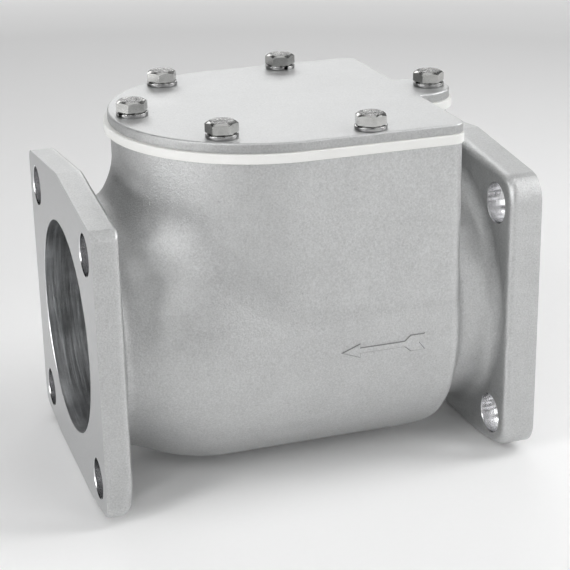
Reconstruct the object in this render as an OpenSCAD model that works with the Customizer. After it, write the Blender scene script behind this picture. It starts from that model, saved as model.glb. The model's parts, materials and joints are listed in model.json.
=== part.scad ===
// Flanged swing check valve. X runs along the flow bore from the outlet face at x = 0 to the inlet face,
// Z is up and the origin is on the bore axis. The flap hangs from a pin across the chamber and closes on a
// seat at the inlet side. All sizes are in millimetres.

/* [Flanges and port] */
// Distance between the two machined flange faces
face_to_face = 211; // [209:0.5:214]
// Radius of the straight port bore
port_r = 50.8; // [49:0.1:51]
// Side of the square of bolt holes
bolt_square = 107.95; // [106:0.05:109]
// Diameter of a bolt hole
bolt_hole_d = 19; // [14:0.5:19.5]
// Half width of a flange across the bore
flange_half_w = 70.5; // [70:0.5:72]
// Height of a flange's crowned top at its middle
flange_crown_z = 75.5; // [73:0.5:77]
// Height of a flange's top edge at its sides
flange_shoulder_z = 68.3; // [67:0.1:70]
// Depth of a flange's flat foot below the bore axis
flange_foot_z = 72; // [71:0.5:74]
// Half width of the flat foot
flange_foot_half_w = 35; // [20:1:45]
// Thickness of the outlet flange
outlet_flange_t = 12.5; // [11:0.5:14]
// Thickness of the inlet flange
inlet_flange_t = 15.5; // [14:0.5:17]
// Corner radius of the outlet flange
outlet_corner_r = 5; // [3:0.5:8]
// Corner radius of the inlet flange
inlet_corner_r = 11; // [8:0.5:13]

/* [Chamber] */
// Distance from the outlet face to the centre of the chamber's round end
chamber_x = 98; // [97:0.5:99]
// Outer radius of the tower's round end, and half its width
tower_r = 70; // [69:0.5:70.5]
// Outer face of the tower's flat end wall
tower_right_x = 172; // [171:0.5:173]
// Height of the body's machined top face
tower_top_z = 90; // [88:0.5:92]
// Outer radius of the horizontal barrel
barrel_r = 71.5; // [71:0.1:72]
// Radius of the arc that draws the barrel in towards the outlet
barrel_arc_r = 88; // [80:1:95]
// Where that arc starts
barrel_arc_x = 68.4; // [66:0.1:70]
// Radius of the barrel's lower corner at the inlet end
barrel_corner_r = 24; // [20:1:26]
// Thickness of the tower's wall
tower_wall = 6; // [5:0.5:6]
// Thickness of the barrel's wall
barrel_wall = 6.5; // [5:0.5:7]
// Inner face of the end wall that holds the seat
seat_wall_x = 158; // [157:0.5:159]
// Outer radius of the outlet neck
outlet_neck_r = 58; // [57:0.5:60]
// Outer radius of the inlet neck
inlet_neck_r = 59.5; // [58:0.5:61]
// Radius of the fillet between a neck and its flange
neck_fillet_r = 6; // [3:0.5:8]

/* [Cover] */
// Outer radius of the cover's round end, and half its width
cover_r = 71; // [70.5:0.5:72]
// Straight edge of the cover
cover_right_x = 172.6; // [172:0.2:174]
// Thickness of the cover
cover_t = 4.6; // [4:0.2:6]
// Radius of the cover's screw lug
lug_r = 16.5; // [15:0.5:17]
// Centre of the lug along the bore
lug_x = 177; // [176:0.5:178]
// Thickness of the cover gasket
gasket_t = 4.4; // [3:0.2:5]
// Distance that the gasket stands out past the cover's round end and sides
gasket_proud = 1.2; // [0.4:0.2:1.6]

/* [Flap] */
// Position of the hinge pin along the bore
pin_x = 144; // [143.5:0.5:144.5]
// Height of the hinge pin above the bore axis
pin_z = 66; // [65:0.5:67]
// Radius of the hinge pin
pin_r = 4; // [3.5:0.1:4]
// Radius of the flap's disc
disc_r = 55; // [54:0.5:55.5]
// Angle of the flap when it is fully open
open_angle = 68; // [60:1:70]
// Face of the seat
seat_face_x = 151; // [150.5:0.5:151.5]

/* [Hidden] */

$fn = 96;
through = 1;
slip = 0.02;
run_gap = 0.05;
part_gap = 0.3;

inlet_back_x = face_to_face - inlet_flange_t;
outer_corner_r = 5;
inner_corner_r = 6;
inner_lower_corner_r = 14;
cover_corner_r = 7;
cover_hole_r = 4.4;
gasket_shift = 0.8;
gasket_r = cover_r + gasket_proud;
lug_inset = 1.3;
cover_bottom_z = tower_top_z + gasket_t;
cover_top_z = cover_bottom_z + cover_t;

// Cover screws: five on a circle about the chamber's round end and its sides, one in the lug
screw_ring_r = 61;
screw_side_y = 51;
screw_rear_x = 129.4;
screw_rear_y = 62.5;
screw_lug_x = 184;
screw_side_x = chamber_x - sqrt(screw_ring_r * screw_ring_r - screw_side_y * screw_side_y);
COVER_SCREWS = [
    [chamber_x - screw_ring_r, 0],
    [screw_side_x, screw_side_y], [screw_side_x, -screw_side_y],
    [screw_rear_x, screw_rear_y], [screw_rear_x, -screw_rear_y],
    [screw_lug_x, 0]
];
boss_r = 7.4;
boss_bottom_z = 74;
cover_screw_r = 4;
cover_screw_len = 25;
cover_screw_head_flat = 13;
cover_screw_head_h = 5.3;
lock_washer_r = 7.4;
lock_washer_t = 2;
lock_washer_split = 1.6;
washer_split_angle = 35;
cover_screw_tip_z = cover_top_z + lock_washer_t - cover_screw_len;

// Seat
seat_in_r = 49;
seat_out_r = 55.5;
seat_depth = 7;
seat_lip_t = 1;
seat_lip_in_r = 50;
seat_lip_out_r = 53.5;
seat_end_x = seat_wall_x + seat_depth;
o_ring_r = 1.2;
o_ring_x = seat_wall_x + seat_depth / 2;

// Hinge bracket
plate_t = 5;
plate_x = seat_wall_x - plate_t;
plate_half_w = 38;
plate_low_z = 58;
plate_high_z = 84;
ear_in_y = 15;
ear_t = 6;
ear_r = 8.5;
bracket_screw_y = 31;
bracket_screw_z = 72;
bracket_screw_r = 3;
bracket_screw_len = 15;
bracket_screw_flat = 10;
bracket_screw_head_h = 4;
bracket_washer_r = 5.5;
bracket_washer_t = 1.6;
bracket_washer_split = 1.2;
bracket_screw_tip_x = plate_x - bracket_washer_t + bracket_screw_len;
plate_corner_r = 5;

// Hinge pin and what runs on it
pin_half_l = 24;
groove_r = 3;
groove_w = 1.2;
clip_r = 7;
clip_t = 1;
clip_mouth = 4.4;
groove_y = ear_in_y + ear_t + 0.2;
hub_r = 8.5;
hub_half_l = 13.2;
bush_r = 5.6;
thrust_t = 1.2;
thrust_r = 7.5;

// Disc stack, from the seat face towards the outlet
seal_t = 4;
disc_t = 6;
seal_face_x = seat_face_x - part_gap;
disc_front_x = seal_face_x - seal_t;
disc_back_x = disc_front_x - disc_t;
disc_hub_r = 15;
disc_hub_t = 5.7;
disc_hub_x = disc_back_x - disc_hub_t;
seal_in_r = 30;
retainer_r = 45;
retainer_t = 3;
retainer_screw_ring_r = 20;
retainer_screw_r = 2.5;
retainer_screw_len = 12;
retainer_screw_flat = 8;
retainer_screw_head_h = 3.5;
retainer_screw_count = 4;
retainer_screw_tip_x = seal_face_x + retainer_t - retainer_screw_len;

// Stud and arm eye
stud_r = 6;
stud_seat_x = disc_front_x - 2;
stud_end_x = 106;
eye_r = 13;
eye_t = 12;
eye_x = disc_hub_x - part_gap - eye_t;
stud_washer_r = 12;
stud_washer_t = 2.4;
stud_washer_x = eye_x - part_gap - stud_washer_t;
nut_flat = 19;
nut_t = 10;
nut_crown_r = 8;
nut_crown_t = 3;
nut_slot_w = 3.4;
nut_x = stud_washer_x - nut_t;
cotter_r = 1.4;
cotter_x = nut_x + nut_crown_t / 2;
cotter_half_l = 10.5;
cotter_eye_r = 3;
cotter_leg_l = 5.6;
cotter_wire = 1.2;
web_half_t = 5;
web_inset = 0.4;
web_disc_gap = 1.3;
web_shoulder = 3;
web_knee = 3.5;
web_knee_z = 40;
web_waist_z = 48;

// Cast stop under the cover that the stud meets when the flap is fully open
stop_r = 9;
stop_x = pin_x - (pin_x - stud_end_x) * cos(open_angle) - pin_z * sin(open_angle) + stud_r * sin(open_angle);
stop_z = pin_z + (pin_x - stud_end_x) * sin(open_angle) - pin_z * cos(open_angle)
    + stud_r * cos(open_angle) + part_gap;

// Flow arrow cast on the side wall
arrow_tip_x = 111.5;
arrow_head_x = 121;
arrow_tail_x = 142.6;
arrow_end_x = 153;
arrow_z = -2.4;
arrow_head_half = 3.65;
arrow_shaft_half = 1.5;
arrow_tail_half = 4.1;
arrow_notch = 3;
arrow_height = 0.7;
arrow_root = 2;

function arc(x, y, r, from, to, n = 10) =
    [for (i = [0:n]) let (a = from + (to - from) * i / n) [x + r * cos(a), y + r * sin(a)]];

// Radius of the barrel's outlet end at a place along the bore, for an outer or an inner skin
function barrel_at(x, inset) =
    barrel_r - barrel_arc_r + sqrt(pow(barrel_arc_r - inset, 2) - pow(barrel_arc_x - x, 2));

// Place along the bore where that skin has drawn in to a radius
function barrel_start(r, inset) =
    barrel_arc_x - sqrt(pow(barrel_arc_r - inset, 2) - pow(r - barrel_r + barrel_arc_r, 2));

// Lays a flat outline across the bore, and gives it a thickness along the bore
module across(x, t) {
    translate([x, 0, 0]) rotate([90, 0, 90]) linear_extrude(t) children();
}

// Cylinder along the bore
module rod_x(x, t, r) {
    translate([x, 0, 0]) rotate([0, 90, 0]) cylinder(h = t, r = r);
}

// Cylinder across the valve, centred on the hinge pin
module rod_pin(y, t, r) {
    translate([pin_x, y, pin_z]) rotate([-90, 0, 0]) cylinder(h = t, r = r);
}

// Hexagonal prism on Z with the given distance across its flats
module hex(flat, h) {
    cylinder(h = h, r = flat / sqrt(3), $fn = 6);
}

// Hex head screw on Z: the shank runs down from z = 0 and the head stands on it
module hex_screw(r, len, flat, head_h) {
    corner = 0.6 * flat;
    top = 0.43 * flat;
    chamfer_h = 0.11 * flat;
    translate([0, 0, -len]) cylinder(h = len, r = r, $fn = 48);
    intersection() {
        hex(flat, head_h);
        rotate_extrude($fn = 48)
            polygon([[0, 0], [corner, 0], [corner, head_h - chamfer_h], [top, head_h], [0, head_h]]);
    }
}

// Split spring washer on Z
module split_washer(r, hole_r, t, split) {
    difference() {
        cylinder(h = t, r = r, $fn = 64);
        translate([0, 0, -through]) cylinder(h = t + 2 * through, r = hole_r, $fn = 48);
        rotate([0, 0, washer_split_angle]) translate([0, -split / 2, -through])
            cube([2 * r, split, t + 2 * through]);
    }
}

// Plan of the chamber: a round end towards the outlet and a square end towards the inlet
module d_plan(centre_x, r, right_x, corner_r) {
    translate([centre_x, 0]) circle(r = r);
    translate([centre_x, -r]) square([right_x - corner_r - centre_x, 2 * r]);
    translate([right_x - 2 * corner_r, corner_r - r]) square([2 * corner_r, 2 * (r - corner_r)]);
    for (side = [-1, 1])
        translate([right_x - corner_r, side * (r - corner_r)]) circle(r = corner_r);
}

// Outline of a flange, crowned at the top, with a flat foot
module flange_outline(corner_r) {
    crown_slope = atan((flange_crown_z - flange_shoulder_z) / flange_half_w);
    foot_slope = atan((flange_foot_z - flange_shoulder_z) / (flange_half_w - flange_foot_half_w - corner_r));
    polygon(concat(
        [[0, flange_crown_z]],
        arc(-flange_half_w + corner_r, flange_shoulder_z - corner_r, corner_r, 90 + crown_slope, 180),
        arc(-flange_half_w + corner_r, -flange_shoulder_z + corner_r, corner_r, 180, 270 - foot_slope),
        [[-flange_foot_half_w, -flange_foot_z], [flange_foot_half_w, -flange_foot_z]],
        arc(flange_half_w - corner_r, -flange_shoulder_z + corner_r, corner_r, 270 + foot_slope, 360),
        arc(flange_half_w - corner_r, flange_shoulder_z - corner_r, corner_r, 0, 90 - crown_slope)
    ));
}

// Barrel about the bore: drawn in towards the outlet, its lower corner rounded at the inlet end
module barrel(inset, start_r, end_x, lower_corner_r, side_corner_r) {
    reach = 2 * barrel_r;
    start_x = barrel_start(start_r, inset);
    arc_steps = 16;
    intersection() {
        rotate([0, 90, 0]) rotate_extrude() polygon(concat(
            [[0, start_x]],
            [for (i = [0:arc_steps])
                let (x = start_x + (barrel_arc_x - start_x) * i / arc_steps) [barrel_at(x, inset), x]],
            [[barrel_r - inset, end_x], [0, end_x]]
        ));
        translate([0, reach, 0]) rotate([90, 0, 0]) linear_extrude(2 * reach)
            side_outline(end_x, lower_corner_r);
        translate([0, 0, -reach]) linear_extrude(2 * reach)
            barrel_plan(barrel_r - inset, end_x, side_corner_r);
    }
}

// Plan of the barrel, with its two vertical corners rounded at the inlet end
module barrel_plan(r, end_x, corner_r) {
    translate([0, -r]) square([end_x - corner_r, 2 * r]);
    translate([0, corner_r - r]) square([end_x, 2 * (r - corner_r)]);
    for (side = [-1, 1]) translate([end_x - corner_r, side * (r - corner_r)]) circle(r = corner_r);
}

// Side view of the barrel's inlet end: square above, one round corner below
module side_outline(end_x, corner_r) {
    centre_z = -barrel_r + corner_r;
    polygon(concat(
        [[0, barrel_r], [0, -barrel_r]],
        arc(end_x - corner_r, centre_z, corner_r, 270, 360, 16),
        [[end_x, barrel_r]]
    ));
}

// Ring that fills the corner between a neck and the back of its flange
module neck_fillet(flange_x, neck_r, direction) {
    low = neck_r - through;
    rotate([0, 90, 0]) rotate_extrude() polygon(concat(
        [[low, flange_x]],
        [for (p = arc(neck_r + neck_fillet_r, neck_fillet_r, neck_fillet_r, 270, 180, 8))
            [p[0], flange_x + direction * p[1]]],
        [[low, flange_x + direction * neck_fillet_r]]
    ));
}

// Outline of the flow arrow, seen from the side it is cast on
module arrow_outline() {
    polygon([
        [arrow_tip_x, 0], [arrow_head_x, arrow_head_half], [arrow_head_x, arrow_shaft_half],
        [arrow_tail_x, arrow_shaft_half], [arrow_tail_x + arrow_notch, arrow_tail_half],
        [arrow_end_x, arrow_tail_half], [arrow_end_x - arrow_notch, 0], [arrow_end_x, -arrow_tail_half],
        [arrow_tail_x + arrow_notch, -arrow_tail_half], [arrow_tail_x, -arrow_shaft_half],
        [arrow_head_x, -arrow_shaft_half], [arrow_head_x, -arrow_head_half]
    ]);
}

// The chamber's open top between the screw bosses
module top_opening() {
    difference() {
        d_plan(chamber_x, tower_r - tower_wall, seat_wall_x, inner_corner_r);
        for (p = COVER_SCREWS) translate(p) circle(r = boss_r);
    }
}

module at_cover_screws(z) {
    for (p = COVER_SCREWS) translate([p[0], p[1], z]) children();
}

module at_bracket_screws(x) {
    for (side = [-1, 1]) translate([x, side * bracket_screw_y, bracket_screw_z]) children();
}

module at_retainer_screws(x) {
    for (i = [0:retainer_screw_count - 1]) rotate([45 + 360 * i / retainer_screw_count, 0, 0])
        translate([x, 0, retainer_screw_ring_r]) children();
}

module at_bolt_holes(x) {
    for (y = [-1, 1], z = [-1, 1]) translate([x, y * bolt_square / 2, z * bolt_square / 2]) children();
}

module body() {
    color("silver") difference() {
        union() {
            body_shell();
            for (p = COVER_SCREWS) if (p[0] < seat_wall_x) translate([p[0], p[1], boss_bottom_z]) {
                cylinder(h = tower_top_z - boss_bottom_z, r = boss_r);
                sphere(r = boss_r);
            }
        }
        at_cover_screws(cover_screw_tip_z - through)
            cylinder(h = tower_top_z - cover_screw_tip_z + 2 * through, r = cover_screw_r + slip, $fn = 48);
        at_bracket_screws(seat_wall_x - through)
            rod_x(0, bracket_screw_tip_x - seat_wall_x + 2 * through, bracket_screw_r + slip);
    }
}

// Casting with its cavity and bores, before the inner screw bosses are added
module body_shell() {
    difference() {
        union() {
            linear_extrude(tower_top_z) d_plan(chamber_x, tower_r, tower_right_x, outer_corner_r);
            barrel(0, outlet_neck_r, tower_right_x, barrel_corner_r, outer_corner_r);
            across(0, outlet_flange_t) flange_outline(outlet_corner_r);
            across(inlet_back_x, inlet_flange_t) flange_outline(inlet_corner_r);
            rod_x(outlet_flange_t / 2, barrel_arc_x / 2, outlet_neck_r);
            rod_x(seat_wall_x, inlet_back_x + inlet_flange_t / 2 - seat_wall_x, inlet_neck_r);
            neck_fillet(outlet_flange_t, outlet_neck_r, 1);
            neck_fillet(inlet_back_x, inlet_neck_r, -1);
            translate([lug_x, 0, tower_top_z / 2]) cylinder(h = tower_top_z / 2, r = lug_r - lug_inset);
            translate([0, arrow_root - barrel_r, arrow_z]) rotate([90, 0, 0])
                linear_extrude(arrow_root + arrow_height) arrow_outline();
        }
        linear_extrude(tower_top_z + through)
            d_plan(chamber_x, tower_r - tower_wall, seat_wall_x, inner_corner_r);
        barrel(barrel_wall, port_r, seat_wall_x, inner_lower_corner_r, inner_corner_r);
        rod_x(-through, barrel_start(port_r, barrel_wall) + 2 * through, port_r);
        rod_x(seat_wall_x, face_to_face - seat_wall_x + through, port_r);
        rod_x(seat_wall_x - through, seat_depth + through, seat_out_r);
        at_bolt_holes(-through) rod_x(0, outlet_flange_t + 2 * through, bolt_hole_d / 2);
        at_bolt_holes(inlet_back_x - through) rod_x(0, inlet_flange_t + 2 * through, bolt_hole_d / 2);
    }
}

module cover() {
    color("gainsboro") difference() {
        union() {
            translate([0, 0, cover_bottom_z]) linear_extrude(cover_t) {
                d_plan(chamber_x, cover_r, cover_right_x, cover_corner_r);
                translate([lug_x, 0]) circle(r = lug_r);
            }
            translate([stop_x, 0, stop_z]) cylinder(h = cover_bottom_z - stop_z + through, r = stop_r);
        }
        at_cover_screws(cover_bottom_z - through)
            cylinder(h = cover_t + 2 * through, r = cover_hole_r, $fn = 48);
    }
}

module cover_gasket() {
    color("white") translate([0, 0, tower_top_z]) linear_extrude(gasket_t) difference() {
        union() {
            d_plan(chamber_x - gasket_shift, gasket_r, cover_right_x, cover_corner_r);
            translate([lug_x, 0]) circle(r = lug_r + gasket_proud);
        }
        top_opening();
        for (p = COVER_SCREWS) translate(p) circle(r = cover_hole_r, $fn = 48);
    }
}

module cover_screws() {
    color("lightsteelblue") at_cover_screws(cover_top_z + lock_washer_t)
        hex_screw(cover_screw_r, cover_screw_len, cover_screw_head_flat, cover_screw_head_h);
}

module lock_washers() {
    color("dimgray") at_cover_screws(cover_top_z)
        split_washer(lock_washer_r, cover_screw_r + 2 * run_gap, lock_washer_t, lock_washer_split);
}

module seat_ring() {
    lip_x = seat_face_x + seat_lip_t;
    groove_floor_r = seat_out_r - 2 * (o_ring_r + slip);
    groove_half_w = o_ring_r + run_gap;
    color("goldenrod") rotate([0, 90, 0]) rotate_extrude() polygon([
        [seat_in_r, lip_x], [seat_lip_in_r, lip_x], [seat_lip_in_r, seat_face_x],
        [seat_lip_out_r, seat_face_x], [seat_lip_out_r, lip_x], [seat_out_r, lip_x],
        [seat_out_r, o_ring_x - groove_half_w], [groove_floor_r, o_ring_x - groove_half_w],
        [groove_floor_r, o_ring_x + groove_half_w], [seat_out_r, o_ring_x + groove_half_w],
        [seat_out_r, seat_end_x], [seat_in_r, seat_end_x]
    ]);
}

module seat_o_ring() {
    color("black") rotate([0, 90, 0]) rotate_extrude()
        translate([seat_out_r - o_ring_r - slip, o_ring_x]) circle(r = o_ring_r, $fn = 32);
}

module hinge_bracket() {
    color("lightslategray") difference() {
        union() {
            across(plate_x, plate_t) bracket_plate_outline();
            for (y = [ear_in_y + ear_t, -ear_in_y]) translate([0, y, 0]) rotate([90, 0, 0])
                linear_extrude(ear_t) ear_outline();
        }
        rod_pin(-plate_half_w, 2 * plate_half_w, pin_r + slip);
        at_bracket_screws(plate_x - through) rod_x(0, plate_t + 2 * through, bracket_screw_r + part_gap);
    }
}

module bracket_plate_outline() {
    height = plate_high_z - plate_low_z;
    inner_w = plate_half_w - plate_corner_r;
    translate([-inner_w, plate_low_z]) square([2 * inner_w, height]);
    translate([-plate_half_w, plate_low_z + plate_corner_r])
        square([2 * plate_half_w, height - 2 * plate_corner_r]);
    for (side = [-1, 1], z = [plate_low_z + plate_corner_r, plate_high_z - plate_corner_r])
        translate([side * inner_w, z]) circle(r = plate_corner_r);
}

module ear_outline() {
    translate([pin_x, pin_z]) circle(r = ear_r);
    translate([pin_x, pin_z - ear_r]) square([plate_x + through - pin_x, 2 * ear_r]);
}

module bracket_screws() {
    color("lightsteelblue") at_bracket_screws(plate_x - bracket_washer_t) rotate([0, -90, 0])
        hex_screw(bracket_screw_r, bracket_screw_len, bracket_screw_flat, bracket_screw_head_h);
}

module bracket_washers() {
    color("dimgray") at_bracket_screws(plate_x) rotate([0, -90, 0])
        split_washer(bracket_washer_r, bracket_screw_r + run_gap, bracket_washer_t, bracket_washer_split);
}

module hinge_pin() {
    color("lightgray") translate([pin_x, 0, pin_z]) rotate([-90, 0, 0]) {
        cylinder(h = 2 * groove_y, r = pin_r, center = true);
        cylinder(h = 2 * pin_half_l, r = groove_r, center = true);
        for (side = [-1, 1]) translate([0, 0, side * (pin_half_l + groove_y + groove_w) / 2])
            cylinder(h = pin_half_l - groove_y - groove_w, r = pin_r, center = true);
    }
}

module pin_clips() {
    clip_y = groove_y + (groove_w - clip_t) / 2;
    color("slategray") for (y = [clip_y, -clip_y - clip_t]) difference() {
        rod_pin(y, clip_t, clip_r);
        rod_pin(y - through, clip_t + 2 * through, groove_r + run_gap);
        translate([pin_x - 2 * clip_r, y - through, pin_z - clip_mouth / 2])
            cube([2 * clip_r, clip_t + 2 * through, clip_mouth]);
    }
}

module thrust_washers() {
    low_y = hub_half_l + part_gap;
    color("peru") for (y = [low_y, -low_y - thrust_t]) difference() {
        rod_pin(y, thrust_t, thrust_r);
        rod_pin(y - through, thrust_t + 2 * through, pin_r + slip);
    }
}

module clapper_arm() {
    color("darkgray") difference() {
        union() {
            rod_pin(-hub_half_l, 2 * hub_half_l, hub_r);
            translate([0, web_half_t, 0]) rotate([90, 0, 0]) linear_extrude(2 * web_half_t) web_outline();
            rod_x(eye_x, eye_t, eye_r);
        }
        rod_pin(-hub_half_l - through, 2 * (hub_half_l + through), bush_r);
        rod_x(eye_x - through, eye_t + 2 * through, stud_r + run_gap);
    }
}

// Side view of the arm's web, from the hub down past the eye
module web_outline() {
    left_x = eye_x + web_inset;
    right_x = eye_x + eye_t - web_inset;
    front_x = disc_back_x - web_disc_gap;
    polygon([
        [pin_x, pin_z + hub_r - web_inset], [pin_x - hub_r + 1, pin_z + web_shoulder],
        [left_x + web_knee, web_knee_z], [left_x, eye_r], [left_x, 0], [right_x, 0], [right_x, eye_r],
        [front_x, web_waist_z], [front_x, pin_z - hub_r + web_inset], [pin_x, pin_z - hub_r + web_inset]
    ]);
}

module arm_bush() {
    color("peru") difference() {
        rod_pin(-hub_half_l, 2 * hub_half_l, bush_r);
        rod_pin(-hub_half_l - through, 2 * (hub_half_l + through), pin_r + run_gap);
    }
}

module clapper_disc() {
    color("silver") difference() {
        union() {
            rod_x(disc_back_x, disc_t, disc_r);
            rod_x(disc_hub_x, disc_hub_t + through, disc_hub_r);
        }
        rod_x(disc_hub_x - through, stud_seat_x - disc_hub_x + through, stud_r);
        at_retainer_screws(0) rod_x(retainer_screw_tip_x - slip, seal_t + disc_t, retainer_screw_r + slip);
    }
}

module disc_seal() {
    color("black") difference() {
        rod_x(disc_front_x, seal_t, disc_r);
        rod_x(disc_front_x - through, seal_t + 2 * through, seal_in_r);
    }
}

module seal_retainer() {
    color("lightgray") difference() {
        union() {
            rod_x(seal_face_x, retainer_t, retainer_r);
            rod_x(disc_front_x, seal_t + through, seal_in_r);
        }
        at_retainer_screws(0)
            rod_x(disc_front_x - through, seal_t + retainer_t + 2 * through, retainer_screw_r + part_gap);
    }
}

module retainer_screws() {
    color("lightsteelblue") at_retainer_screws(seal_face_x + retainer_t) rotate([0, 90, 0])
        hex_screw(retainer_screw_r, retainer_screw_len, retainer_screw_flat, retainer_screw_head_h);
}

module disc_stud() {
    color("lightgray") difference() {
        rod_x(stud_end_x, stud_seat_x - stud_end_x, stud_r);
        translate([cotter_x, -2 * stud_r, 0]) rotate([-90, 0, 0])
            cylinder(h = 4 * stud_r, r = cotter_r + run_gap, $fn = 32);
    }
}

module stud_washer() {
    color("silver") difference() {
        rod_x(stud_washer_x, stud_washer_t, stud_washer_r);
        rod_x(stud_washer_x - through, stud_washer_t + 2 * through, stud_r + slip);
    }
}

module stud_nut() {
    color("silver") difference() {
        union() {
            translate([nut_x + nut_crown_t, 0, 0]) rotate([0, 90, 0]) hex(nut_flat, nut_t - nut_crown_t);
            rod_x(nut_x, nut_crown_t + through, nut_crown_r);
        }
        rod_x(nut_x - through, nut_t + 2 * through, stud_r + slip);
        for (i = [0:2]) rotate([60 * i, 0, 0]) translate([nut_x - through, -2 * nut_crown_r, -nut_slot_w / 2])
            cube([nut_crown_t + through, 4 * nut_crown_r, nut_slot_w]);
    }
}

module cotter_pin() {
    color("lightsteelblue") translate([cotter_x, 0, 0]) {
        rotate([90, 0, 0]) cylinder(h = 2 * cotter_half_l, r = cotter_r, center = true, $fn = 32);
        translate([0, -cotter_half_l - cotter_eye_r + cotter_r, 0]) rotate([0, 90, 0]) difference() {
            cylinder(h = cotter_wire, r = cotter_eye_r, center = true, $fn = 48);
            cylinder(h = 2 * cotter_wire, r = cotter_eye_r - cotter_wire, center = true, $fn = 48);
        }
        translate([0, cotter_half_l - cotter_r, 0])
            cylinder(h = 2 * cotter_leg_l, r = cotter_wire / 2, center = true, $fn = 24);
    }
}

body();
cover();
cover_gasket();
cover_screws();
lock_washers();
seat_ring();
seat_o_ring();
hinge_bracket();
bracket_screws();
bracket_washers();
hinge_pin();
pin_clips();
thrust_washers();
clapper_arm();
arm_bush();
clapper_disc();
disc_seal();
seal_retainer();
retainer_screws();
disc_stud();
stud_washer();
stud_nut();
cotter_pin();
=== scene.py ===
"""Flanged swing check valve: the looks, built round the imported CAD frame.

Shapes are worked out in millimetres in the frame's own axes (X along the bore from the outlet face to the
inlet face, Z up) and become metres when a mesh is made. The casting, the flap's arm and its bracket are
signed distance fields, so that their walls meet in real fillets; machined faces are then cut crisp.
"""

import json
import math

import bmesh
import bpy
import numpy as np
from mathutils import Matrix, Vector


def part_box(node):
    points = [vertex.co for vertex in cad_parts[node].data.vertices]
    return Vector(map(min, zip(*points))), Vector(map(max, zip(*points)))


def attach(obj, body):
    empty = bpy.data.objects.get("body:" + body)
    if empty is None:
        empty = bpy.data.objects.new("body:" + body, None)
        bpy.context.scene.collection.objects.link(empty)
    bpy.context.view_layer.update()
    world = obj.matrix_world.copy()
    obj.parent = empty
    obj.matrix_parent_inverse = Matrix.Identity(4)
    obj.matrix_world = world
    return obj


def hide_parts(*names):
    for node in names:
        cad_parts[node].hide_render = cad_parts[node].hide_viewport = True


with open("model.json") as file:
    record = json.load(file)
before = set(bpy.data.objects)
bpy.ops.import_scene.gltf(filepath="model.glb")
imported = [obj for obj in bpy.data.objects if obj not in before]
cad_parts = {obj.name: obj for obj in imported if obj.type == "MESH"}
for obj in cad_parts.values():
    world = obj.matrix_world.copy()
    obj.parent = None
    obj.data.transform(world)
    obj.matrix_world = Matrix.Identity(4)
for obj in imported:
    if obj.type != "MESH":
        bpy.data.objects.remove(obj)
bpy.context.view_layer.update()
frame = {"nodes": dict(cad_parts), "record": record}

MM = 0.001

# Which finish a face of the casting takes. The arrow's own index gives its sloping sides a darker metal,
# painted shade along the relief.
CAST, FACED, SHADED_ARROW, BORED, DRILLED = range(5)


# ---------------------------------------------------------------- sizes, in millimetres, from the frame


def node_box(node):
    """Lowest and highest corner of a CAD node, in millimetres."""
    low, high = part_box(node)
    return np.array(low) / MM, np.array(high) / MM


def node_islands(node):
    """The middle and the size of each separate solid of a CAD node, in millimetres."""
    bm = bmesh.new()
    bm.from_mesh(frame["nodes"][node].data)
    bmesh.ops.remove_doubles(bm, verts=bm.verts, dist=1e-6)
    left, found = set(bm.verts), []
    while left:
        stack, group = [left.pop()], []
        while stack:
            vert = stack.pop()
            group.append(vert.co[:])
            for edge in vert.link_edges:
                other = edge.other_vert(vert)
                if other in left:
                    left.remove(other)
                    stack.append(other)
        points = np.array(group) / MM
        found.append(((points.min(0) + points.max(0)) / 2, points.max(0) - points.min(0)))
    bm.free()
    return sorted(found, key=lambda island: tuple(np.round(island[0], 2)))


def mount(name):
    """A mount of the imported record."""
    return next(m for m in frame["record"]["mounts"] if m["name"] == name)


body_low, body_high = node_box("body")
cover_low, cover_high = node_box("cover")
gasket_low, gasket_high = node_box("cover_gasket")
seat_high = node_box("seat_ring")[1]
bracket_high = node_box("hinge_bracket")[1]
cover_screws = node_islands("cover_screws")
bracket_screws = node_islands("bracket_screws")

FACE_TO_FACE = body_high[0]
TOP_Z = gasket_low[2]
FOOT_Z = -body_low[2]
PORT_R = mount("outlet_port")["dims"]["r_mm"]
BOLT_SQUARE = mount("outlet_bolts")["dims"]["spacing_x_mm"]
BOLT_R = mount("outlet_bolts")["dims"]["hole_r_mm"]

# Flanges
FLANGE_HALF_W = 70.5
FLANGE_CROWN_Z = 75.5
FLANGE_SHOULDER_Z = 68.3
FLANGE_FOOT_HALF_W = 35
OUTLET_T, OUTLET_CORNER_R, OUTLET_EDGE_R = 12.5, 5, 1.8
INLET_T, INLET_CORNER_R, INLET_EDGE_R = 15.5, 11, 3.6
INLET_BACK_X = FACE_TO_FACE - INLET_T
FOOT_EDGE_R, FOOT_FADE_Z = 5, (50, 68)
OUTLET_FLANGE_FILLET_R, INLET_FLANGE_FILLET_R = 6, 7

# Tower and barrel
CHAMBER_X = 98
TOWER_R = 70
CHAMBER_RIGHT_X = 172
BARREL_R = 71.5
ARC_X, ARC_R = 68.4, 88
BARREL_START_X = 20
OUTER_CORNER_R = 5
BARREL_CORNER_R = 24
CREASE_R, INNER_CREASE_R, CREASE_FADE_X = 28, 12, (110, 150)
OUTLET_NECK_R, INLET_NECK_R = 58, 59.5
OUTLET_NECK_X, INLET_NECK_X = (0, 40), (160, 208)
OUTLET_NECK_FILLET_R, INLET_NECK_FILLET_R = 5, 7
LUG_X, LUG_BOSS_R, LUG_BOSS_LOW_Z, LUG_FILLET_R = 177, 15.2, 45, 3

# Cavity
TOWER_WALL, BARREL_WALL = 6, 6.5
SEAT_WALL_X = bracket_high[0]
INNER_CORNER_R, INNER_LOWER_CORNER_R = 6, 14
BOSS_R, BOSS_LOW_Z, BOSS_FILLET_R = 7.4, 74, 3
BORE_END_X = 23.4
HINGE_PLACE = (144, 0, 66)

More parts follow.
